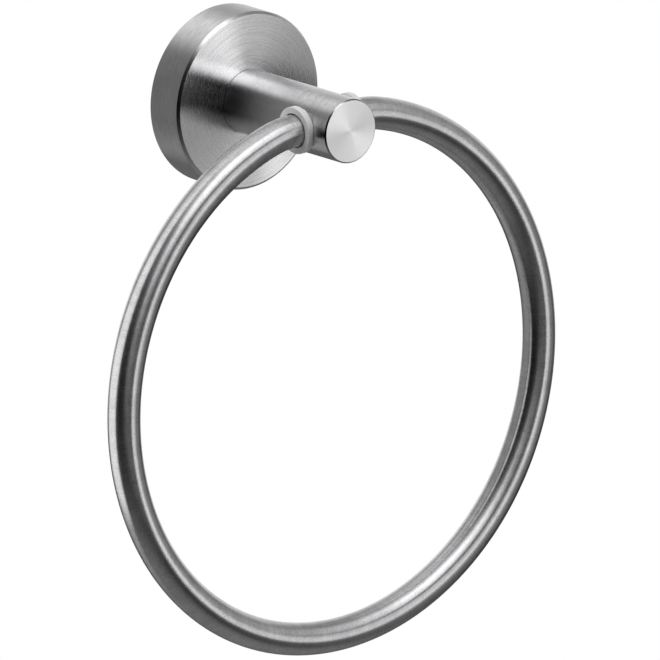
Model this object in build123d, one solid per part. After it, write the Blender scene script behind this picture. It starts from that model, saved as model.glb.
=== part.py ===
from build123d import *
import os
from math import atan2, degrees, sqrt

# Towel ring for a wall. Millimetres, +Z up, the wall is the plane Y = 0 and the front faces -Y.
# The origin is the middle of the base's back face.

# Ring: bent round tube, split inside the post
ring_radius = 81.0
tube_diameter = 10.0
tube_wall = 1.0
easing_radius = 33.0
end_gap = 5.0

# Base: turned cup that covers the wall plate
base_diameter = 55.0
base_depth = 13.5
base_face_thickness = 3.0
base_side_wall = 2.5
base_front_chamfer = 0.8
base_back_chamfer = 0.3

# Post: turned bar, screwed to the base from behind
post_diameter = 19.8
post_past_ring_axis = 13.0
post_end_chamfer = 0.5
ring_axis_from_wall = 49.0

# Nylon bushes, one from each side, with their flanges on spot faces
bush_wall = 1.0
bush_flange_overhang = 1.2
bush_flange_thickness = 1.9
bush_flange_round = 0.4
bush_lead_in = 0.5
spot_face_depth = 0.3

# Screw and split washer that hold the post to the base
post_screw_diameter = 6.0
post_screw_grip = 11.0
post_screw_head_diameter = 10.5
post_screw_head_height = 3.3
post_screw_socket = 4.0
post_screw_socket_depth = 2.0
post_hole_spare_depth = 2.0
washer_diameter = 11.8
washer_thickness = 1.6
washer_slit = 0.8

# Wall plate: round, with an undercut edge that the set screw pulls on
plate_thickness = 4.0
plate_undercut = 2.0
plate_hole_diameter = 5.0
plate_hole_spacing = 30.0

# Set screw in the underside of the base
set_screw_diameter = 4.0
set_screw_recess = 0.1
set_screw_tip_diameter = 1.0
set_screw_tip_length = 1.2
set_screw_socket = 2.0
set_screw_socket_depth = 1.8
set_screw_from_plate_front = 0.8

# Clearances
running_clearance = 0.08
fixed_clearance = 0.02
hole_clearance = 0.25
plate_clearance = 1.5
plate_centre_clearance = 1.75
spot_face_clearance = 0.3
stub_clearance = 0.8
tip_clearance = 0.05

# Worked-out sizes
tube_radius = tube_diameter / 2
tube_bore_radius = tube_radius - tube_wall
base_radius = base_diameter / 2
cavity_radius = base_radius - base_side_wall
cavity_depth = base_depth - base_face_thickness
post_radius = post_diameter / 2
post_length = ring_axis_from_wall + post_past_ring_axis - base_depth
bush_bore_radius = tube_radius + running_clearance
bush_sleeve_radius = bush_bore_radius + bush_wall
bush_flange_radius = bush_sleeve_radius + bush_flange_overhang
bush_inner_end = end_gap / 2
bush_seat = post_radius - spot_face_depth
bush_front = bush_seat + bush_flange_thickness
stub_end = bush_front + stub_clearance
screw_radius = post_screw_diameter / 2
screw_head_radius = post_screw_head_diameter / 2
plate_radius = cavity_radius - plate_clearance
set_screw_radius = set_screw_diameter / 2
set_screw_tip_radius = set_screw_tip_diameter / 2
set_screw_from_wall = plate_thickness - set_screw_from_plate_front

# The easing bends lead from the straight ends into the ring, tangent to both
centre_offset = ring_radius - easing_radius
easing_rise = sqrt(centre_offset**2 - stub_end**2)
easing_angle = degrees(atan2(stub_end, easing_rise))
ring_drop = easing_radius + easing_rise

outwards = Vector(0, -1, 0)
ring_axis = Vector(0, -ring_axis_from_wall, 0)
ring_normal = Vector(0, 1, 0)


def turned(profile_points, start, direction):
    """A solid of revolution from an outline of (distance along the axis, radius) points."""
    outline = Polyline(*[(radius, 0, along) for along, radius in profile_points], close=True)
    return Plane(origin=start, z_dir=direction) * revolve(make_face(outline), Axis.Z)


def rod(radius, start, direction, length):
    """A plain cylinder from a start point along a direction."""
    return extrude(Plane(origin=start, z_dir=direction) * Circle(radius), length)


def hex_socket(across_flats, start, direction, depth):
    """The cut for a hexagon key, from a mouth along a direction."""
    flats = RegularPolygon(across_flats / 2, 6, major_radius=False)
    return extrude(Plane(origin=start, z_dir=direction) * flats, depth)


def build_base():
    cup = turned(
        [
            (0, cavity_radius),
            (0, base_radius - base_back_chamfer),
            (base_back_chamfer, base_radius),
            (base_depth - base_front_chamfer, base_radius),
            (base_depth, base_radius - base_front_chamfer),
            (base_depth, 0),
            (cavity_depth, 0),
            (cavity_depth, cavity_radius),
        ],
        (0, 0, 0),
        outwards,
    )
    screw_hole = rod(screw_radius + hole_clearance, (0, -cavity_depth, 0), outwards, base_face_thickness)
    set_screw_hole = rod(
        set_screw_radius + fixed_clearance,
        (0, -set_screw_from_wall, -base_radius),
        (0, 0, 1),
        base_radius - plate_radius,
    )
    return cup - screw_hole - set_screw_hole


def build_post():
    bar = rod(post_radius, (0, -base_depth, 0), outwards, post_length)
    end_edge = bar.edges().filter_by(GeomType.CIRCLE).sort_by(Axis.Y)[0]
    bar = chamfer(end_edge, post_end_chamfer)
    screw_hole_depth = post_screw_grip + post_hole_spare_depth
    bar -= rod(screw_radius + fixed_clearance, (0, -base_depth, 0), outwards, screw_hole_depth)
    cross_bore_start = ring_axis - Vector(post_radius, 0, 0)
    bar -= rod(bush_sleeve_radius + fixed_clearance, cross_bore_start, (1, 0, 0), post_diameter)
    for side in (-1, 1):
        seat_centre = ring_axis + Vector(side * bush_seat, 0, 0)
        spot_radius = bush_flange_radius + spot_face_clearance
        bar -= rod(spot_radius, seat_centre, (side, 0, 0), spot_face_depth)
    return bar


def build_bush(side):
    direction = Vector(side, 0, 0)
    bush = turned(
        [
            (bush_inner_end, bush_bore_radius),
            (bush_front - bush_lead_in, bush_bore_radius),
            (bush_front, bush_bore_radius + bush_lead_in),
            (bush_front, bush_flange_radius),
            (bush_seat, bush_flange_radius),
            (bush_seat, bush_sleeve_radius),
            (bush_inner_end, bush_sleeve_radius),
        ],
        ring_axis,
        direction,
    )
    rim_edges = bush.edges().filter_by(GeomType.CIRCLE).group_by(SortBy.RADIUS)[-1]
    front_edge = rim_edges.sort_by(Axis(ring_axis, direction))[-1]
    return fillet(front_edge, bush_flange_round)


def tube_section(centre, direction):
    return Plane(origin=centre, z_dir=direction) * (Circle(tube_radius) - Circle(tube_bore_radius))


def build_ring():
    ring_centre = ring_axis - Vector(0, 0, ring_drop)
    stub_length = stub_end - end_gap / 2
    stub_start = ring_axis + Vector(end_gap / 2, 0, 0)
    bend_start = ring_axis + Vector(stub_end, 0, 0)
    bend_centre = bend_start - Vector(0, 0, easing_radius)
    stub = extrude(tube_section(stub_start, (1, 0, 0)), stub_length)
    bend = revolve(tube_section(bend_start, (1, 0, 0)), Axis(bend_centre, ring_normal), easing_angle)
    arc_start = ring_centre + Vector(0, 0, ring_radius).rotate(Axis.Y, easing_angle)
    arc_direction = Vector(1, 0, 0).rotate(Axis.Y, easing_angle)
    arc = revolve(tube_section(arc_start, arc_direction), Axis(ring_centre, ring_normal), 360 - 2 * easing_angle)
    right_end = stub + bend
    left_end = mirror(right_end, Plane.YZ)
    return right_end + arc + left_end


def build_post_screw():
    head_seat = cavity_depth - washer_thickness
    head_end = head_seat - post_screw_head_height
    shank_length = washer_thickness + base_face_thickness + post_screw_grip
    head = rod(screw_head_radius, (0, -head_end, 0), outwards, post_screw_head_height)
    shank = rod(screw_radius, (0, -head_seat, 0), outwards, shank_length)
    socket = hex_socket(post_screw_socket, (0, -head_end, 0), outwards, post_screw_socket_depth)
    return head + shank - socket


def build_lock_washer():
    start = Vector(0, -cavity_depth + washer_thickness, 0)
    washer = rod(washer_diameter / 2, start, outwards, washer_thickness)
    washer -= rod(screw_radius + hole_clearance, start, outwards, washer_thickness)
    slit_middle = start + outwards * (washer_thickness / 2) + Vector(0, 0, washer_diameter / 4)
    return washer - Pos(slit_middle) * Box(washer_slit, washer_thickness, washer_diameter / 2)


def build_wall_plate():
    plate = turned(
        [
            (0, 0),
            (0, plate_radius - plate_undercut),
            (plate_thickness, plate_radius),
            (plate_thickness, 0),
        ],
        (0, 0, 0),
        outwards,
    )
    for side in (-1, 1):
        hole_start = (side * plate_hole_spacing / 2, 0, 0)
        plate -= rod(plate_hole_diameter / 2, hole_start, outwards, plate_thickness)
    return plate - rod(screw_head_radius + plate_centre_clearance, (0, 0, 0), outwards, plate_thickness)


def build_set_screw():
    # The tip's front edge is the first to meet the sloping edge of the plate
    contact_depth = set_screw_from_wall + set_screw_tip_radius
    plate_edge = plate_radius - plate_undercut * (1 - contact_depth / plate_thickness)
    tip_reach = plate_edge + tip_clearance
    mouth_reach = base_radius - set_screw_recess
    centre = Vector(0, -set_screw_from_wall, 0)
    screw = turned(
        [
            (tip_reach, 0),
            (tip_reach, set_screw_tip_radius),
            (tip_reach + set_screw_tip_length, set_screw_radius),
            (mouth_reach, set_screw_radius),
            (mouth_reach, 0),
        ],
        centre,
        (0, 0, -1),
    )
    mouth = centre - Vector(0, 0, mouth_reach)
    return screw - hex_socket(set_screw_socket, mouth, (0, 0, 1), set_screw_socket_depth)


nodes = {
    "base": build_base(),
    "post": build_post(),
    "ring": build_ring(),
    "left_bush": build_bush(-1),
    "right_bush": build_bush(1),
    "post_screw": build_post_screw(),
    "lock_washer": build_lock_washer(),
    "wall_plate": build_wall_plate(),
    "set_screw": build_set_screw(),
}

os.makedirs("parts", exist_ok=True)
for name, shape in nodes.items():
    export_step(shape, f"parts/{name}.step")
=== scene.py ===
from math import atan2, cos, hypot, pi, radians, sin, sqrt, tan

import bpy
from mathutils import Matrix, Vector


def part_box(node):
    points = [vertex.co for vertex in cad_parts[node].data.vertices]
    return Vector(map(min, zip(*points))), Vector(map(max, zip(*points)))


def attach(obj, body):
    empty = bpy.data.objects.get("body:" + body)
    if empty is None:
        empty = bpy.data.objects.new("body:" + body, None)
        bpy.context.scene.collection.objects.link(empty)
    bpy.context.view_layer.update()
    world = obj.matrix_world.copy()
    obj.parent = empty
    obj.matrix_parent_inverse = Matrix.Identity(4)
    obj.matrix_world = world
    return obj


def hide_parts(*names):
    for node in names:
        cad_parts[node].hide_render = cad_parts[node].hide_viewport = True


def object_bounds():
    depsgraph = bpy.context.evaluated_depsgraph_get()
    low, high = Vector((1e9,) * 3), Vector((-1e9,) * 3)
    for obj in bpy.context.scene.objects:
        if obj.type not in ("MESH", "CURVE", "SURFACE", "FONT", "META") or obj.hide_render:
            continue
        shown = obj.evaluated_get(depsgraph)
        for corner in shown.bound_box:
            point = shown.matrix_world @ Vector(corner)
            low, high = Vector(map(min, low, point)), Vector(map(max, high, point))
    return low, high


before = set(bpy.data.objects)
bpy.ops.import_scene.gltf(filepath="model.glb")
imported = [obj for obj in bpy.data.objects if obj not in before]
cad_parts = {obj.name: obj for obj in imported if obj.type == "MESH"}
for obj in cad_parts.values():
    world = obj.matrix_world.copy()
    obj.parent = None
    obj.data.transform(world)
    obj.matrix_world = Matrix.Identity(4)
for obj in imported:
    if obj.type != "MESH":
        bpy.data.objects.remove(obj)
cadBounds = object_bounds()
mm = 0.001
skin = 0.01 * mm  # how near a face lies to a plane that it counts as part of
outwards = Vector((0, -1, 0))
bakeMap = "OFBake"
print("frame loaded:", len(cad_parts), "solids")


# camera, at the photograph's viewing angle
cameraView = {
    "azimuth": -38.83,
    "elevation": 16.24,
    "roll": -2.09,
    "distance": 9.0,
    "lens": 1627.7,
    "sensor": 36.0,
    "target": (-0.34 * mm, -49.0 * mm, -64.82 * mm),
}


def aimAt(azimuth, elevation):
    turn, rise = radians(azimuth), radians(elevation)
    return Vector((sin(turn) * cos(rise), -cos(turn) * cos(rise), sin(rise)))


def addCamera():
    camera = bpy.data.cameras.new("viewCamera")
    camera.sensor_width = cameraView["sensor"]
    camera.lens = cameraView["lens"]
    holder = bpy.data.objects.new("viewCamera", camera)
    bpy.context.scene.collection.objects.link(holder)
    back = aimAt(cameraView["azimuth"], cameraView["elevation"])
    level = back.cross(Vector((0, 0, -1))).normalized()
    upward = back.cross(level)
    roll = radians(cameraView["roll"])
    across = cos(roll) * level + sin(roll) * upward
    upward = back.cross(across)
    place = Vector(cameraView["target"]) + back * cameraView["distance"]
    holder.matrix_world = Matrix((
        (across.x, upward.x, back.x, place.x),
        (across.y, upward.y, back.y, place.y),
        (across.z, upward.z, back.z, place.z),
        (0, 0, 0, 1),
    ))
    bpy.context.scene.camera = holder


addCamera()
print("camera placed")


# node helpers
def addNode(tree, kind, **settings):
    node = tree.nodes.new(kind)
    for name, value in settings.items():
        setattr(node, name, value)
    return node


def feed(tree, value, socket):
    if isinstance(value, bpy.types.NodeSocket):
        tree.links.new(value, socket)
    else:
        socket.default_value = value


def mathNode(tree, operation, *values):
    node = addNode(tree, "ShaderNodeMath", operation=operation)
    for value, socket in zip(values, node.inputs):
        feed(tree, value, socket)
    return node.outputs[0]


def vectorNode(tree, operation, *values):
    node = addNode(tree, "ShaderNodeVectorMath", operation=operation)
    for value, socket in zip(values, node.inputs):
        feed(tree, value, socket)
    return node.outputs["Value"] if operation in ("DOT_PRODUCT", "LENGTH") else node.outputs["Vector"]


def rangeNode(tree, value, low, high, start, end, smooth=False):
    node = addNode(tree, "ShaderNodeMapRange", interpolation_type="SMOOTHSTEP" if smooth else "LINEAR")
    for item, socket in zip((value, low, high, start, end), node.inputs):
        feed(tree, item, socket)
    return node.outputs["Result"]


def joinNode(tree, x, y, z):
    node = addNode(tree, "ShaderNodeCombineXYZ")
    for value, socket in zip((x, y, z), node.inputs):
        feed(tree, value, socket)
    return node.outputs[0]


def splitNode(tree, vector):
    node = addNode(tree, "ShaderNodeSeparateXYZ")
    tree.links.new(vector, node.inputs[0])
    return node.outputs


def noiseNode(tree, vector, scale, detail=2.0, roughness=0.5):
    node = addNode(tree, "ShaderNodeTexNoise")
    feed(tree, vector, node.inputs["Vector"])
    feed(tree, scale, node.inputs["Scale"])
    node.inputs["Detail"].default_value = detail
    node.inputs["Roughness"].default_value = roughness
    return node.outputs["Fac"]


def blendNode(tree, factor, first, second):
    node = addNode(tree, "ShaderNodeMix", data_type="RGBA")
    feed(tree, factor, node.inputs[0])
    feed(tree, first, node.inputs[6])
    feed(tree, second, node.inputs[7])
    return node.outputs[2]


def newGroup(name, inputs, outputs):
    group = bpy.data.node_groups.new(name, "ShaderNodeTree")
    for label, kind in inputs:
        group.interface.new_socket(name=label, in_out="INPUT", socket_type="NodeSocket" + kind)
    for label in outputs:
        group.interface.new_socket(name=label, in_out="OUTPUT", socket_type="NodeSocketFloat")
    return group, addNode(group, "NodeGroupInput").outputs, addNode(group, "NodeGroupOutput").inputs


# studio: soft panels round the object, by direction, in a world that is white to the camera
studio = {
    "groundLevel": 0.24,
    "horizonLevel": 0.0,
    "horizonStart": -0.39,
    "panels": (
        # turn from the front and rise, half width and half height in degrees, soft edge, level
        # the backdrop gives no light: it is where the metal shows the white behind the object
        {"name": "overhead", "turn": 5.5, "rise": 50,
         "wide": 18, "tall": 19.5, "edge": 0.35, "level": 1.7},
        {"name": "frontStrip", "turn": 24.5, "rise": 4,
         "wide": 9.5, "tall": 18, "edge": 0.20, "level": 1.5},
        {"name": "frontLow", "turn": 39.5, "rise": -5.5,
         "wide": 7, "tall": 13.5, "edge": 0.63, "level": 0.75},
        {"name": "rightFill", "turn": 53, "rise": 26,
         "wide": 40, "tall": 58, "edge": 0.90, "level": 0.31},
        {"name": "backdrop", "turn": 140, "rise": 9,
         "wide": 41, "tall": 22, "edge": 0.40, "level": 0.0},
        {"name": "wallSide", "turn": -142, "rise": 1,
         "wide": 32, "tall": 54.5, "edge": 0.10, "level": 0.28},
        {"name": "leftHigh", "turn": 175, "rise": 83.5,
         "wide": 22.5, "tall": 45, "edge": 0.90, "level": 1.0},
    ),
}


def makePanelGroup():
    vectors = [(label, "Vector") for label in ("Direction", "Facing", "Across", "Upward")]
    group, given, out = newGroup("softPanel", (*vectors, ("Edge", "Float")), ("Mask",))
    depth = vectorNode(group, "DOT_PRODUCT", given["Direction"], given["Facing"])
    clear = mathNode(group, "MAXIMUM", depth, 0.01)  # keeps the division below from zero
    inner = mathNode(group, "SUBTRACT", 1.0, given["Edge"])
    outer = mathNode(group, "ADD", 1.0, given["Edge"])
    mask = mathNode(group, "GREATER_THAN", depth, 0.0)
    for axis in ("Across", "Upward"):
        reach = vectorNode(group, "DOT_PRODUCT", given["Direction"], given[axis])
        share = mathNode(group, "ABSOLUTE", mathNode(group, "DIVIDE", reach, clear))
        mask = mathNode(group, "MULTIPLY", mask, rangeNode(group, share, inner, outer, 1.0, 0.0, smooth=True))
    group.links.new(mask, out["Mask"])
    return group


def buildWorld():
    world = bpy.data.worlds.new("studio")
    world.use_nodes = True
    bpy.context.scene.world = world
    tree = world.node_tree
    tree.nodes.clear()
    direction = addNode(tree, "ShaderNodeTexCoord").outputs["Generated"]
    height = splitNode(tree, direction)["Z"]
    light = rangeNode(
        tree, height, -1.0, studio["horizonStart"], studio["groundLevel"], studio["horizonLevel"], smooth=True
    )
    panelGroup = makePanelGroup()
    masks = {}
    for panel in studio["panels"]:
        facing = aimAt(panel["turn"], panel["rise"])
        across = Vector((0, 0, 1)).cross(facing).normalized()
        upward = facing.cross(across)
        node = addNode(tree, "ShaderNodeGroup", node_tree=panelGroup, name=panel["name"])
        feed(tree, direction, node.inputs["Direction"])
        node.inputs["Facing"].default_value = facing
        node.inputs["Across"].default_value = across / tan(radians(panel["wide"]))
        node.inputs["Upward"].default_value = upward / tan(radians(panel["tall"]))
        node.inputs["Edge"].default_value = panel["edge"]
        masks[panel["name"]] = node.outputs["Mask"]
        light = mathNode(tree, "ADD", light, mathNode(tree, "MULTIPLY", node.outputs["Mask"], panel["level"]))
    # white to the camera from every side, and white in the metal where the backdrop stands behind the object
    path = addNode(tree, "ShaderNodeLightPath").outputs
    mirrored = mathNode(tree, "MAXIMUM", path["Is Glossy Ray"], path["Is Transmission Ray"])
    shown = mathNode(tree, "MULTIPLY", mirrored, masks["backdrop"])
    seen = mathNode(tree, "MAXIMUM", path["Is Camera Ray"], shown)
    mixed = addNode(tree, "ShaderNodeMix", data_type="FLOAT")
    feed(tree, seen, mixed.inputs[0])
    feed(tree, light, mixed.inputs[2])
    feed(tree, 1.0, mixed.inputs[3])
    background = addNode(tree, "ShaderNodeBackground")
    feed(tree, (1, 1, 1, 1), background.inputs["Color"])
    feed(tree, mixed.outputs[0], background.inputs["Strength"])
    output = addNode(tree, "ShaderNodeOutputWorld")
    tree.links.new(background.outputs[0], output.inputs["Surface"])


buildWorld()


# side card: a soft light close to the left of the ring
sideCard = {
    "left": 93 * mm,
    "front": -49.5 * mm,
    "back": -5 * mm,
    "low": -116 * mm,
    "high": 140 * mm,
    "level": 0.82,
    "lights": ("ringTube", "leftBush", "rightBush"),
}

# far soft lights for single pieces: by direction, half width and half height in degrees
farLights = {
    "away": 3.0,
    "lights": (
        {"name": "ringLeft", "turn": -22, "rise": 53, "wide": 8, "tall": 20,
         "level": 0.7, "lit": ("ringTube",)},
        {"name": "ringTongue", "turn": -30, "rise": 32, "wide": 8, "tall": 10,
         "level": 0.4, "lit": ("ringTube",)},
        {"name": "bushFill", "turn": -95, "rise": 50, "wide": 14, "tall": 14,
         "level": 2.6, "lit": ("leftBush", "rightBush")},
    ),
}


def addSoftLight(name, place, aim, tall, wide, level, lights):
    lamp = bpy.data.lights.new(name, "AREA")
    lamp.shape = "RECTANGLE"
    lamp.size = tall
    lamp.size_y = wide
    lamp.energy = level * pi * wide * tall  # watts that make the lamp's surface as bright as the level
    holder = bpy.data.objects.new(name, lamp)
    bpy.context.scene.collection.objects.link(holder)
    holder.location = place
    holder.rotation_euler = aim.to_track_quat("-Z", "X").to_euler()
    holder.visible_camera = False
    receivers = bpy.data.collections.new(name + "Receivers")
    for lit in lights:
        receivers.objects.link(bpy.data.objects[lit])
    holder.light_linking.receiver_collection = receivers


def addSideCard():
    middleY = (sideCard["front"] + sideCard["back"]) / 2
    middleZ = (sideCard["low"] + sideCard["high"]) / 2
    place = Vector((-sideCard["left"], middleY, middleZ))
    tall, wide = sideCard["high"] - sideCard["low"], sideCard["back"] - sideCard["front"]
    addSoftLight("sideCard", place, Vector((1, 0, 0)), tall, wide, sideCard["level"], sideCard["lights"])


def addFarLights():
    for light in farLights["lights"]:
        place = aimAt(light["turn"], light["rise"]) * farLights["away"]
        tall = 2 * farLights["away"] * tan(radians(light["tall"]))
        wide = 2 * farLights["away"] * tan(radians(light["wide"]))
        addSoftLight(light["name"], place, -place, tall, wide, light["level"], light["lit"])


# floor, well below the ring, fading out into the white
floorDisc = {
    "drop": 300 * mm,
    "radius": 800 * mm,
    "clear": 250 * mm,
    "colour": (0.80, 0.80, 0.80, 1),
    "steps": 96,
}


def addFloor():
    bpy.ops.object.select_all(action="DESELECT")
    low = cadBounds[0][2] - floorDisc["drop"]
    bpy.ops.mesh.primitive_circle_add(
        vertices=floorDisc["steps"], radius=floorDisc["radius"], fill_type="NGON", location=(0, 0, low)
    )
    floor = bpy.context.object
    floor.name = "floor"
    material = bpy.data.materials.new("paleFloor")
    material.use_nodes = True
    tree = material.node_tree
    tree.nodes.clear()
    place = addNode(tree, "ShaderNodeTexCoord").outputs["Object"]
    reach = vectorNode(tree, "LENGTH", place)
    fade = rangeNode(tree, reach, floorDisc["clear"], floorDisc["radius"], 0.0, 1.0, smooth=True)
    beneath = addNode(tree, "ShaderNodeNewGeometry").outputs["Backfacing"]
    pale = addNode(tree, "ShaderNodeBsdfDiffuse")
    pale.inputs["Color"].default_value = floorDisc["colour"]
    gone = addNode(tree, "ShaderNodeBsdfTransparent")
    mix = addNode(tree, "ShaderNodeMixShader")
    feed(tree, mathNode(tree, "MAXIMUM", fade, beneath), mix.inputs[0])
    tree.links.new(pale.outputs[0], mix.inputs[1])
    tree.links.new(gone.outputs[0], mix.inputs[2])
    tree.links.new(mix.outputs[0], addNode(tree, "ShaderNodeOutputMaterial").inputs["Surface"])
    floor.data.materials.append(material)
    floor.visible_glossy = False


addFloor()
print("studio lit")


# modelling helpers
meshing = {"mergeGap": 0.001 * mm, "roundSegments": 2, "sharpAngle": 30, "outlineHold": 0.01}


def startEdit(piece):
    bpy.ops.object.select_all(action="DESELECT")
    piece.select_set(True)
    bpy.context.view_layer.objects.active = piece
    bpy.ops.object.mode_set(mode="EDIT")
    bpy.ops.mesh.select_all(action="SELECT")


def endEdit():
    bpy.ops.mesh.select_all(action="SELECT")
    bpy.ops.mesh.remove_doubles(threshold=meshing["mergeGap"])
    bpy.ops.mesh.normals_make_consistent(inside=False)
    bpy.ops.object.mode_set(mode="OBJECT")


def addLoop(name, radius, place, direction, steps):
    bpy.ops.object.select_all(action="DESELECT")
    turn = direction.to_track_quat("Z", "Y").to_euler()
    bpy.ops.mesh.primitive_circle_add(
        vertices=steps, radius=radius, fill_type="NOTHING", location=place, rotation=turn
    )
    piece = bpy.context.object
    piece.name = name
    piece.data.name = name
    bpy.ops.object.transform_apply(location=True, rotation=True, scale=True)
    return piece


def applyModifier(piece, kind, **settings):
    bpy.ops.object.select_all(action="DESELECT")
    piece.select_set(True)
    bpy.context.view_layer.objects.active = piece
    modifier = piece.modifiers.new(kind.lower(), kind)
    for name, value in settings.items():
        setattr(modifier, name, value)
    bpy.ops.object.modifier_apply(modifier=modifier.name)


def roundEdges(piece, width):
    angle = radians(meshing["sharpAngle"])
    segments = meshing["roundSegments"]
    applyModifier(piece, "BEVEL", width=width, segments=segments, limit_method="ANGLE", angle_limit=angle)


def smoothEdges(piece, angle=meshing["sharpAngle"]):
    bpy.ops.object.select_all(action="DESELECT")
    piece.select_set(True)
    bpy.context.view_layer.objects.active = piece
    bpy.ops.object.shade_smooth_by_angle(angle=radians(angle))
    applyModifier(piece, "WEIGHTED_NORMAL", keep_sharp=True)


def drillHole(piece, radius, start, direction, depth, steps=96):
    cutter = addLoop("cutter", radius, start, direction, steps)
    startEdit(cutter)
    bpy.ops.mesh.edge_face_add()
    bpy.ops.mesh.extrude_region_move(TRANSFORM_OT_translate={"value": direction * depth})
    endEdit()
    applyModifier(piece, "BOOLEAN", operation="DIFFERENCE", solver="EXACT", object=cutter)
    bpy.data.objects.remove(cutter)


def turnPiece(name, outline, start, direction, steps, closed):
    # outline: (distance along the axis, radius), each loop extruded from the last and scaled to its radius
    along, radius = outline[0]
    piece = addLoop(name, radius, start + direction * along, direction, steps)
    startEdit(piece)
    for nextAlong, nextRadius in outline[1:] + (outline[:1] if closed else []):
        bpy.ops.mesh.extrude_region_move(TRANSFORM_OT_translate={"value": direction * (nextAlong - along)})
        scale = nextRadius / radius
        bpy.ops.transform.resize(value=(scale, scale, scale), center_override=start + direction * nextAlong)
        along, radius = nextAlong, nextRadius
    endEdit()
    return piece


def closeEnds(piece):
    startEdit(piece)
    bpy.ops.mesh.select_all(action="DESELECT")
    bpy.ops.mesh.select_mode(type="EDGE")
    bpy.ops.mesh.select_non_manifold()
    bpy.ops.mesh.edge_face_add()
    endEdit()


def wrapTurned(piece, outline, start, direction):
    # map for the bake: U runs down the outline, across the brush lines, and V runs round the axis
    lengths = [0.0]
    loop = outline + outline[:1]
    for (a0, r0), (a1, r1) in zip(loop, loop[1:]):
        lengths.append(lengths[-1] + hypot(a1 - a0, r1 - r0))
    side = direction.orthogonal().normalized()
    other = direction.cross(side)
    layer = piece.data.uv_layers.new(name=bakeMap)
    vertices = piece.data.vertices

    def spot(co):
        arm = co - start
        along = arm.dot(direction)
        return along, (arm - direction * along).length, atan2(arm.dot(other), arm.dot(side)) / (2 * pi)

    def downOutline(along, radius, near):
        best = None
        for index, ((a0, r0), (a1, r1)) in enumerate(zip(loop, loop[1:])):
            span = hypot(a1 - a0, r1 - r0)
            share = ((along - a0) * (a1 - a0) + (radius - r0) * (r1 - r0)) / span**2
            share = min(max(share, 0.0), 1.0)
            gap = hypot(along - a0 - share * (a1 - a0), radius - r0 - share * (r1 - r0))
            length = lengths[index] + share * span
            # corners of one face stay on one stretch of the outline
            score = gap + (0 if near is None else meshing["outlineHold"] * abs(length - near))
            if best is None or score < best[0]:
                best = (score, length)
        return best[1]

    for face in piece.data.polygons:
        along, radius, middle = spot(face.center)
        near = downOutline(along, radius, None)
        for corner in face.loop_indices:
            along, radius, turn = spot(vertices[piece.data.loops[corner].vertex_index].co)
            turn = middle + (turn - middle + 0.5) % 1.0 - 0.5
            layer.data[corner].uv = (downOutline(along, radius, near) / lengths[-1], turn + 0.5)


def giveSteel(piece, material, body, node):
    piece.data.materials.append(material)
    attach(piece, body)
    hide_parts(node)


# brush marks of a turned piece, whose axis is the Y axis of the frame
turnedMarks = {
    "grain": {"perTurn": 9.0, "detail": 2.0, "roughness": 0.6},
    "arcs": {"perTurn": 1.6, "detail": 1.0, "roughness": 0.5},
    "scores": {"perTurn": 0.8, "detail": 0.0, "roughness": 0.5},
    "scoreStart": 0.14,  # away from the middle of the noise
    "scoreFull": 0.22,
    "axisGap": 0.1 * mm,
}
cloudScale = 150.0


def makeTurnedGroup():
    group, given, out = newGroup(
        "turnedGrain",
        (("Position", "Vector"), ("Lines", "Float"), ("Marks", "Float"), ("Scores", "Float")),
        ("Grain", "Arcs", "Cloud"),
    )
    place = splitNode(group, given["Position"])
    square = mathNode(
        group, "ADD", mathNode(group, "POWER", place["X"], 2.0), mathNode(group, "POWER", place["Z"], 2.0)
    )
    radius = mathNode(group, "SQRT", square)
    across = mathNode(group, "SUBTRACT", radius, place["Y"])
    safe = mathNode(group, "MAXIMUM", radius, turnedMarks["axisGap"])
    east = mathNode(group, "DIVIDE", place["X"], safe)
    north = mathNode(group, "DIVIDE", place["Z"], safe)

    def marks(perMetre, perTurn, detail, roughness):
        spot = joinNode(
            group,
            mathNode(group, "MULTIPLY", across, perMetre),
            mathNode(group, "MULTIPLY", east, perTurn),
            mathNode(group, "MULTIPLY", north, perTurn),
        )
        return noiseNode(group, spot, 1.0, detail, roughness)

    group.links.new(marks(given["Lines"], **turnedMarks["grain"]), out["Grain"])
    # a few long scores among the short arcs, some light and some dark
    sparse = marks(given["Marks"], **turnedMarks["scores"])
    start, full = turnedMarks["scoreStart"], turnedMarks["scoreFull"]
    light = rangeNode(group, sparse, 0.5 + start, 0.5 + full, 0.0, given["Scores"])
    dark = rangeNode(group, sparse, 0.5 - start, 0.5 - full, 0.0, given["Scores"])
    short = marks(given["Marks"], **turnedMarks["arcs"])
    group.links.new(mathNode(group, "ADD", short, mathNode(group, "SUBTRACT", light, dark)), out["Arcs"])
    group.links.new(noiseNode(group, given["Position"], cloudScale), out["Cloud"])
    return group


turnedGroup = makeTurnedGroup()


# how the marks show: the stretch of the noise from dark to light, the clouds in it, the depth in the metal
steelMarks = {"low": 0.40, "high": 0.60, "cloudShare": 0.3, "depth": 0.05 * mm}


def steelMaterial(name, look):
    material = bpy.data.materials.new(name)
    material.use_nodes = True
    shader = material.node_tree.nodes["Principled BSDF"]
    shader.inputs["Metallic"].default_value = 1.0
    shader.inputs["Anisotropic"].default_value = look["anisotropic"]
    return material, material.node_tree, shader


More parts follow.
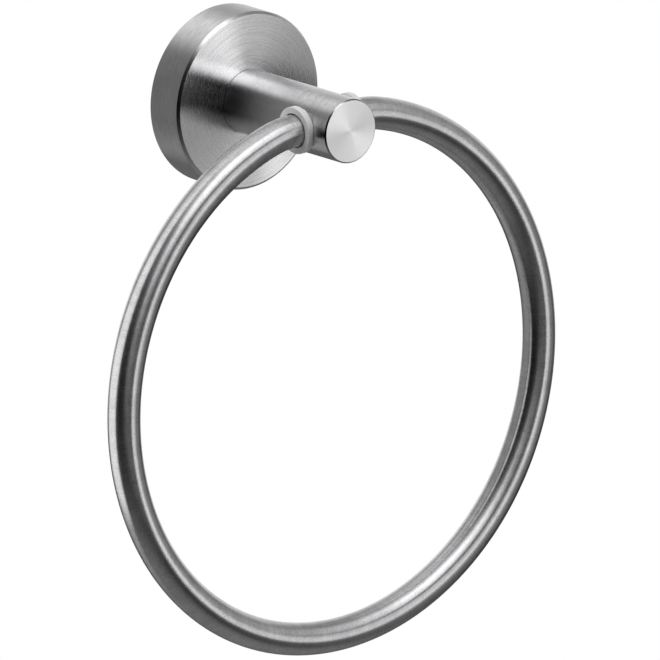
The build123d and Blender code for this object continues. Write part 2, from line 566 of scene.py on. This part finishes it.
def finishSteel(tree, shader, look, grain, arcs, cloud):
    # the marks vary the colour, the roughness and the height a little
    marks = mathNode(
        tree, "ADD",
        mathNode(tree, "MULTIPLY", grain, 1 - look["arcShare"]),
        mathNode(tree, "MULTIPLY", arcs, look["arcShare"]),
    )
    clouds = mathNode(tree, "MULTIPLY", mathNode(tree, "SUBTRACT", cloud, 0.5), steelMarks["cloudShare"])
    low, high = steelMarks["low"], steelMarks["high"]
    tone = rangeNode(tree, mathNode(tree, "ADD", marks, clouds), low, high, 0.0, 1.0)
    feed(tree, blendNode(tree, tone, look["dark"], look["light"]), shader.inputs["Base Color"])
    feed(tree, rangeNode(tree, marks, low, high, look["smooth"], look["rough"]), shader.inputs["Roughness"])
    bump = addNode(tree, "ShaderNodeBump")
    bump.inputs["Strength"].default_value = look["bump"]
    bump.inputs["Distance"].default_value = steelMarks["depth"]
    feed(tree, marks, bump.inputs["Height"])
    tree.links.new(bump.outputs["Normal"], shader.inputs["Normal"])


def turnedSteel(name, look):
    material, tree, shader = steelMaterial(name, look)
    place = addNode(tree, "ShaderNodeTexCoord").outputs["Object"]
    around = vectorNode(tree, "CROSS_PRODUCT", (0, 1, 0), place)
    normal = addNode(tree, "ShaderNodeNewGeometry").outputs["Normal"]
    crossing = vectorNode(tree, "NORMALIZE", vectorNode(tree, "CROSS_PRODUCT", around, normal))
    tree.links.new(crossing, shader.inputs["Tangent"])
    lines = addNode(tree, "ShaderNodeGroup", node_tree=turnedGroup)
    feed(tree, place, lines.inputs["Position"])
    lines.inputs["Lines"].default_value = look["lines"] / mm
    lines.inputs["Marks"].default_value = look["marks"] / mm
    lines.inputs["Scores"].default_value = look.get("scores", 0.0)
    finishSteel(tree, shader, look, lines.outputs["Grain"], lines.outputs["Arcs"], lines.outputs["Cloud"])
    return material


# base: a turned cup, hollow at the back
baseLow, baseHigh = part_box("base")
baseCup = {
    "radius": (baseHigh.x - baseLow.x) / 2,
    "depth": -baseLow.y,
    "sideWall": 2.5 * mm,
    "faceThickness": 3.0 * mm,
    "frontChamfer": 0.8 * mm,
    "backChamfer": 0.3 * mm,
    "screwHole": 3.25 * mm,
    "setScrewHole": 2.02 * mm,
    "edgeRound": 0.12 * mm,
    "steps": 192,
    "faceSteel": {
        "dark": (0.74, 0.74, 0.75, 1),
        "light": (0.84, 0.84, 0.85, 1),
        "smooth": 0.26,
        "rough": 0.285,
        "anisotropic": 1.0,
        "bump": 0.6,
        "lines": 2.6,
        "marks": 2.0,
        "arcShare": 0.8,
        "scores": 0.3,
    },
    # painted shade: the chamfer's steel is darker than the face's, which dims its highlight and darkens the
    # edge line
    "edgeShadeSteel": {
        "dark": (0.66, 0.66, 0.67, 1),
        "light": (0.74, 0.74, 0.75, 1),
        "smooth": 0.30,
        "rough": 0.325,
        "anisotropic": 0.7,
        "bump": 0.05,
        "lines": 2.6,
        "marks": 2.0,
        "arcShare": 0.8,
    },
    "rimSteel": {
        "dark": (0.67, 0.67, 0.68, 1),
        "light": (0.81, 0.81, 0.82, 1),
        "smooth": 0.325,
        "rough": 0.35,
        "anisotropic": 0.98,
        "bump": 0.06,
        "lines": 2.6,
        "marks": 1.0,
        "arcShare": 0.2,
    },
}


def modelBase():
    radius, depth = baseCup["radius"], baseCup["depth"]
    cavity = radius - baseCup["sideWall"]
    cavityDepth = depth - baseCup["faceThickness"]
    front, rear = baseCup["frontChamfer"], baseCup["backChamfer"]
    outline = [
        (0, cavity),
        (0, radius - rear),
        (rear, radius),
        (depth - front, radius),
        (depth, radius - front),
        (depth, baseCup["screwHole"]),
        (cavityDepth, baseCup["screwHole"]),
        (cavityDepth, cavity),
    ]
    origin = Vector((0, 0, 0))
    cup = turnPiece("baseCup", outline, origin, outwards, baseCup["steps"], closed=True)
    roundEdges(cup, baseCup["edgeRound"])
    wrapTurned(cup, outline, origin, outwards)
    setLow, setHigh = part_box("set_screw")
    under = Vector((0, (setLow.y + setHigh.y) / 2, -radius - baseCup["sideWall"]))
    drillHole(cup, baseCup["setScrewHole"], under, Vector((0, 0, 1)), 3 * baseCup["sideWall"])
    smoothEdges(cup)
    giveSteel(cup, turnedSteel("rimSteel", baseCup["rimSteel"]), "bracket", "base")
    cup.data.materials.append(turnedSteel("faceSteel", baseCup["faceSteel"]))
    cup.data.materials.append(turnedSteel("frontEdgeShadeSteel", baseCup["edgeShadeSteel"]))
    for face in cup.data.polygons:
        if face.center.y < -depth + skin:
            face.material_index = 1
        elif face.center.y < -depth + front:
            face.material_index = 2


modelBase()
print("base turned")


# post: a turned bar, cross-bored and spot-faced for the bushes
postLow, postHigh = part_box("post")
bushLow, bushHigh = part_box("left_bush")
ringLow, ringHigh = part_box("ring")
tubeRadius = (ringHigh.y - ringLow.y) / 2
ringAxisY = (ringHigh.y + ringLow.y) / 2
postBar = {
    "radius": (postHigh.x - postLow.x) / 2,
    "start": -postHigh.y,
    "end": -postLow.y,
    "endChamfer": 0.4 * mm,
    "footGroove": 0.3 * mm,
    "tappedHole": 3.02 * mm,
    "tappedDepth": 13.0 * mm,
    "crossBore": 6.10 * mm,
    "spotFace": 7.58 * mm,
    "spotDepth": 0.3 * mm,
    "centrePip": 0.2 * mm,
    "edgeRound": 0.06 * mm,
    "steps": 192,
    "steel": {
        "dark": (0.69, 0.69, 0.70, 1),
        "light": (0.83, 0.83, 0.84, 1),
        "smooth": 0.24,
        "rough": 0.265,
        "anisotropic": 1.0,
        "bump": 0.05,
        "lines": 2.6,
        "marks": 1.0,
        "arcShare": 0.2,
    },
    "endSteel": {
        "dark": (0.82, 0.82, 0.83, 1),
        "light": (0.86, 0.86, 0.87, 1),
        "smooth": 0.155,
        "rough": 0.168,
        "anisotropic": 0.91,
        "bump": 0.02,
        "lines": 3.0,
        "marks": 1.5,
        "arcShare": 0.3,
    },
    # painted shade: the end chamfer's steel is much darker than the bar's, which takes out its highlight and
    # leaves a dark line round the end
    "edgeShadeSteel": {
        "dark": (0.42, 0.42, 0.43, 1),
        "light": (0.50, 0.50, 0.51, 1),
        "smooth": 0.22,
        "rough": 0.26,
        "anisotropic": 0.5,
        "bump": 0.05,
        "lines": 2.6,
        "marks": 2.0,
        "arcShare": 0.8,
    },
    # painted shade: near-black steel on the cross-bore and the spot faces, standing in for the shade in the
    # gap round the bushes' flanges
    "boreShadeSteel": {
        "dark": (0.10, 0.10, 0.105, 1),
        "light": (0.16, 0.16, 0.165, 1),
        "smooth": 0.35,
        "rough": 0.45,
        "anisotropic": 0.3,
        "bump": 0.05,
        "lines": 2.6,
        "marks": 1.0,
        "arcShare": 0.2,
    },
}


def modelPost():
    radius, start, end = postBar["radius"], postBar["start"], postBar["end"]
    chamfer = postBar["endChamfer"]
    outline = [
        (start + postBar["tappedDepth"], postBar["tappedHole"]),
        (start, postBar["tappedHole"]),
        (start, radius - postBar["footGroove"]),
        (start + postBar["footGroove"], radius - postBar["footGroove"]),
        (start + postBar["footGroove"], radius),
        (end - chamfer, radius),
        (end, radius - chamfer),
        (end, postBar["centrePip"]),
    ]
    origin = Vector((0, 0, 0))
    bar = turnPiece("postBar", outline, origin, outwards, postBar["steps"], closed=False)
    roundEdges(bar, postBar["edgeRound"])
    closeEnds(bar)
    wrapTurned(bar, outline, origin, outwards)
    axis = Vector((1, 0, 0))
    drillHole(bar, postBar["crossBore"], Vector((-2 * radius, ringAxisY, 0)), axis, 4 * radius)
    for side in (-1, 1):
        seat = Vector((side * (radius - postBar["spotDepth"]), ringAxisY, 0))
        drillHole(bar, postBar["spotFace"], seat, side * axis, radius)
    smoothEdges(bar)
    giveSteel(bar, turnedSteel("postSteel", postBar["steel"]), "bracket", "post")
    bar.data.materials.append(turnedSteel("endSteel", postBar["endSteel"]))
    bar.data.materials.append(turnedSteel("endEdgeShadeSteel", postBar["edgeShadeSteel"]))
    bar.data.materials.append(turnedSteel("boreShadeSteel", postBar["boreShadeSteel"]))
    edge = postBar["spotFace"] + skin
    for face in bar.data.polygons:
        corners = [bar.data.vertices[index].co for index in face.vertices]
        if face.center.y < -end + skin:
            face.material_index = 1
        elif face.center.y < -end + chamfer:
            face.material_index = 2
        elif all(hypot(corner.y - ringAxisY, corner.z) < edge for corner in corners):
            # faces round the bushes' seats take the painted shade
            face.material_index = 3


modelPost()
print("post turned")


# ring: a bent tube, from the right end round to the left
ringTube = {
    "centre": Vector((0, ringAxisY, ringLow.z + ringHigh.x)),
    "radius": ringHigh.x - tubeRadius,
    "easingRadius": 33.0 * mm,
    "wall": 1.0 * mm,
    "endGap": 5.0 * mm,
    "roundSteps": 64,
    "bendSteps": 16,
    "arcSteps": 300,
    "smoothAngle": 40,
    "strips": {"outside": (0.0, 0.6), "bore": (0.62, 0.36)},  # start and height in the bake map
    "steel": {
        "dark": (0.56, 0.56, 0.57, 1),
        "light": (0.74, 0.74, 0.75, 1),
        "smooth": 0.28,
        "rough": 0.30,
        "anisotropic": 0.95,
        "bump": 0.04,
        "arcShare": 0.3,
        "mirrored": (0.10, 0.10, 0.10, 1),
    },
}


def tubePath():
    # lengths and angles of the half path: straight end, easing bend, half of the ring
    rise = -ringTube["centre"].z - ringTube["easingRadius"]
    reach = ringTube["radius"] - ringTube["easingRadius"]
    stubEnd = sqrt(reach**2 - rise**2)
    return stubEnd, atan2(stubEnd, rise)


def modelRing():
    stubEnd, easing = tubePath()
    centre, easingRadius = ringTube["centre"], ringTube["easingRadius"]
    halfGap = ringTube["endGap"] / 2
    along, turnAxis = Vector((1, 0, 0)), (0, -1, 0)
    tube = addLoop("ringTube", tubeRadius, Vector((halfGap, ringAxisY, 0)), along, ringTube["roundSteps"])
    startEdit(tube)
    bpy.ops.mesh.extrude_region_move(TRANSFORM_OT_translate={"value": along * (stubEnd - halfGap)})
    bends = (
        (easing, Vector((stubEnd, ringAxisY, -easingRadius)), ringTube["bendSteps"]),
        (2 * pi - 2 * easing, centre, ringTube["arcSteps"]),
        (easing, Vector((-stubEnd, ringAxisY, -easingRadius)), ringTube["bendSteps"]),
    )
    for angle, middle, steps in bends:
        bpy.ops.mesh.spin(steps=steps, angle=angle, center=middle, axis=turnAxis)
    bpy.ops.mesh.extrude_region_move(TRANSFORM_OT_translate={"value": along * (stubEnd - halfGap)})
    endEdit()
    applyModifier(tube, "SOLIDIFY", thickness=ringTube["wall"], offset=-1.0)
    smoothEdges(tube, ringTube["smoothAngle"])
    wrapTube(tube)
    giveSteel(tube, ringSteel(), "swing_ring", "ring")


def wrapTube(tube):
    # map for the bake: U runs along the tube, V round it, with the bore in a strip of its own
    stubEnd, easing = tubePath()
    centre, easingRadius, radius = ringTube["centre"], ringTube["easingRadius"], ringTube["radius"]
    halfGap = ringTube["endGap"] / 2
    stub = stubEnd - halfGap
    bend = easingRadius * easing
    half = stub + bend + radius * (pi - easing)

    def spot(co):
        across = abs(co.x)
        bendTurn = atan2(across - stubEnd, co.z + easingRadius)
        if across <= stubEnd and co.z > -easingRadius:
            length, out = across - halfGap, co.z
        elif bendTurn <= easing and co.z > -easingRadius:
            length = stub + easingRadius * bendTurn
            out = hypot(across - stubEnd, co.z + easingRadius) - easingRadius
        else:
            turn = atan2(across, co.z - centre.z)
            length = stub + bend + radius * (turn - easing)
            out = hypot(co.x, co.z - centre.z) - radius
        share = length / (2 * half)
        front = co.y - ringAxisY
        return share if co.x > 0 else 1 - share, atan2(front, out) / (2 * pi), hypot(front, out)

    layer = tube.data.uv_layers.new(name=bakeMap)
    for face in tube.data.polygons:
        middle = spot(face.center)
        strip = ringTube["strips"]["outside" if middle[2] > tubeRadius - ringTube["wall"] / 2 else "bore"]
        for corner in face.loop_indices:
            length, turn, out = spot(tube.data.vertices[tube.data.loops[corner].vertex_index].co)
            turn = middle[1] + (turn - middle[1] + 0.5) % 1.0 - 0.5
            layer.data[corner].uv = (length, strip[0] + strip[1] * (turn + 0.5))


# brush marks of the tube, from place on the ring: marks to the millimetre along the tube and across it
tubeMarks = {
    "grain": {"lengthwise": 2.6, "crosswise": 1.6, "detail": 2.0, "roughness": 0.6},
    "streaks": {"lengthwise": 0.9, "crosswise": 0.15, "detail": 2.0, "roughness": 0.6},
}


def makeTubeGroup():
    group, given, out = newGroup(
        "tubeGrain", (("Arm", "Vector"), ("Radius", "Float")), ("Grain", "Streaks", "Cloud")
    )
    arm = splitNode(group, given["Arm"])
    turn = mathNode(group, "ARCTAN2", arm["X"], mathNode(group, "MULTIPLY", arm["Z"], -1.0))
    along = mathNode(group, "MULTIPLY", turn, given["Radius"])
    square = mathNode(
        group, "ADD", mathNode(group, "POWER", arm["X"], 2.0), mathNode(group, "POWER", arm["Z"], 2.0)
    )
    outward = mathNode(group, "SUBTRACT", mathNode(group, "SQRT", square), given["Radius"])

    def marks(lengthwise, crosswise, detail, roughness):
        spot = joinNode(
            group,
            mathNode(group, "MULTIPLY", along, lengthwise / mm),
            mathNode(group, "MULTIPLY", outward, crosswise / mm),
            mathNode(group, "MULTIPLY", arm["Y"], crosswise / mm),
        )
        return noiseNode(group, spot, 1.0, detail, roughness)

    group.links.new(marks(**tubeMarks["grain"]), out["Grain"])
    group.links.new(marks(**tubeMarks["streaks"]), out["Streaks"])
    group.links.new(noiseNode(group, given["Arm"], cloudScale), out["Cloud"])
    return group


def ringSteel():
    material, tree, shader = steelMaterial("ringSteel", ringTube["steel"])
    place = addNode(tree, "ShaderNodeTexCoord").outputs["Object"]
    arm = vectorNode(tree, "SUBTRACT", place, ringTube["centre"])
    along = vectorNode(tree, "NORMALIZE", vectorNode(tree, "CROSS_PRODUCT", (0, 1, 0), arm))
    tree.links.new(along, shader.inputs["Tangent"])
    lines = addNode(tree, "ShaderNodeGroup", node_tree=makeTubeGroup())
    feed(tree, arm, lines.inputs["Arm"])
    lines.inputs["Radius"].default_value = ringTube["radius"]
    marks = lines.outputs
    finishSteel(tree, shader, ringTube["steel"], marks["Grain"], marks["Streaks"], marks["Cloud"])
    # dark to reflected rays, so that the ring's mirror image doesn't light the base's face
    mirrored = addNode(tree, "ShaderNodeLightPath").outputs["Is Glossy Ray"]
    colour = shader.inputs["Base Color"]
    feed(tree, blendNode(tree, mirrored, colour.links[0].from_socket, ringTube["steel"]["mirrored"]), colour)
    return material


modelRing()
print("ring bent")


# bushes: flanged nylon sleeves
bushSleeve = {
    "bore": tubeRadius + 0.08 * mm,
    "wall": 1.0 * mm,
    "mouthGap": 0.3 * mm,
    "mouthDepth": 1.5 * mm,
    "flangeThickness": 1.9 * mm,
    "flangeRound": 0.3 * mm,
    "roundSteps": 4,
    "steps": 128,
    "colour": (0.93, 0.93, 0.925, 1),
    "shade": (0.87, 0.87, 0.865, 1),
    "smooth": 0.32,
    "rough": 0.45,
    "cloud": {"scale": 350.0, "detail": 3.0, "roughness": 0.6},
    "speck": {"scale": 4000.0, "low": 0.3, "high": 0.7},
    "bump": 0.15,
    "bumpDepth": 0.02 * mm,
}


def whiteNylon():
    material = bpy.data.materials.new("whiteNylon")
    material.use_nodes = True
    tree = material.node_tree
    shader = tree.nodes["Principled BSDF"]
    place = addNode(tree, "ShaderNodeTexCoord").outputs["Object"]
    cloud = noiseNode(tree, place, **bushSleeve["cloud"])
    specks = bushSleeve["speck"]
    speck = noiseNode(tree, place, specks["scale"])
    feed(tree, blendNode(tree, cloud, bushSleeve["shade"], bushSleeve["colour"]), shader.inputs["Base Color"])
    dull = rangeNode(tree, speck, specks["low"], specks["high"], bushSleeve["smooth"], bushSleeve["rough"])
    feed(tree, dull, shader.inputs["Roughness"])
    bump = addNode(tree, "ShaderNodeBump")
    bump.inputs["Strength"].default_value = bushSleeve["bump"]
    bump.inputs["Distance"].default_value = bushSleeve["bumpDepth"]
    feed(tree, speck, bump.inputs["Height"])
    tree.links.new(bump.outputs["Normal"], shader.inputs["Normal"])
    return material


def modelBush(side, material):
    node = "left_bush" if side < 0 else "right_bush"
    low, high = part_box(node)
    inner, outer = sorted((abs(low.x), abs(high.x)))
    bore, flange = bushSleeve["bore"], (high.z - low.z) / 2
    sleeve = bore + bushSleeve["wall"]
    seat, rounding = outer - bushSleeve["flangeThickness"], bushSleeve["flangeRound"]
    mouth, mouthEnd = bore + bushSleeve["mouthGap"], outer - bushSleeve["mouthDepth"]
    turns = [radians(90 / bushSleeve["roundSteps"] * step) for step in range(bushSleeve["roundSteps"] + 1)]
    corner = [(outer - rounding * (1 - cos(turn)), flange - rounding * (1 - sin(turn))) for turn in turns]
    outline = [
        (inner, bore),
        (mouthEnd, bore),
        (mouthEnd, mouth),
        (outer, mouth),
        *corner,
        (seat, flange),
        (seat, sleeve),
        (inner, sleeve),
    ]
    start, direction = Vector((0, ringAxisY, 0)), Vector((side, 0, 0))
    bush = turnPiece(node.replace("_b", "B"), outline, start, direction, bushSleeve["steps"], closed=True)
    wrapTurned(bush, outline, start, direction)
    smoothEdges(bush)
    giveSteel(bush, material, "bracket", node)


nylon = whiteNylon()
for side in (-1, 1):
    modelBush(side, nylon)
print("bushes moulded")
addSideCard()
addFarLights()


# hidden steel pieces keep their solids
plateLook = {
    "dark": (0.48, 0.48, 0.475, 1),
    "light": (0.60, 0.60, 0.595, 1),
    "smooth": 0.34,
    "rough": 0.46,
    "anisotropic": 0.3,
    "bump": 0.06,
    "lines": 3.0,
    "marks": 0.4,
    "arcShare": 0.5,
}
screwLook = {
    "dark": (0.44, 0.44, 0.435, 1),
    "light": (0.56, 0.56, 0.555, 1),
    "smooth": 0.28,
    "rough": 0.38,
    "anisotropic": 0.5,
    "bump": 0.06,
    "lines": 6.0,
    "marks": 1.0,
    "arcShare": 0.5,
}


def dress(nodeNames, material):
    for name in nodeNames:
        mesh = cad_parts[name].data
        mesh.materials.clear()
        mesh.materials.append(material)


dress(("wall_plate",), turnedSteel("plateSteel", plateLook))
dress(("post_screw", "lock_washer", "set_screw"), turnedSteel("screwSteel", screwLook))
print("hidden pieces dressed")

bpy.context.scene.view_settings.view_transform = "Standard"
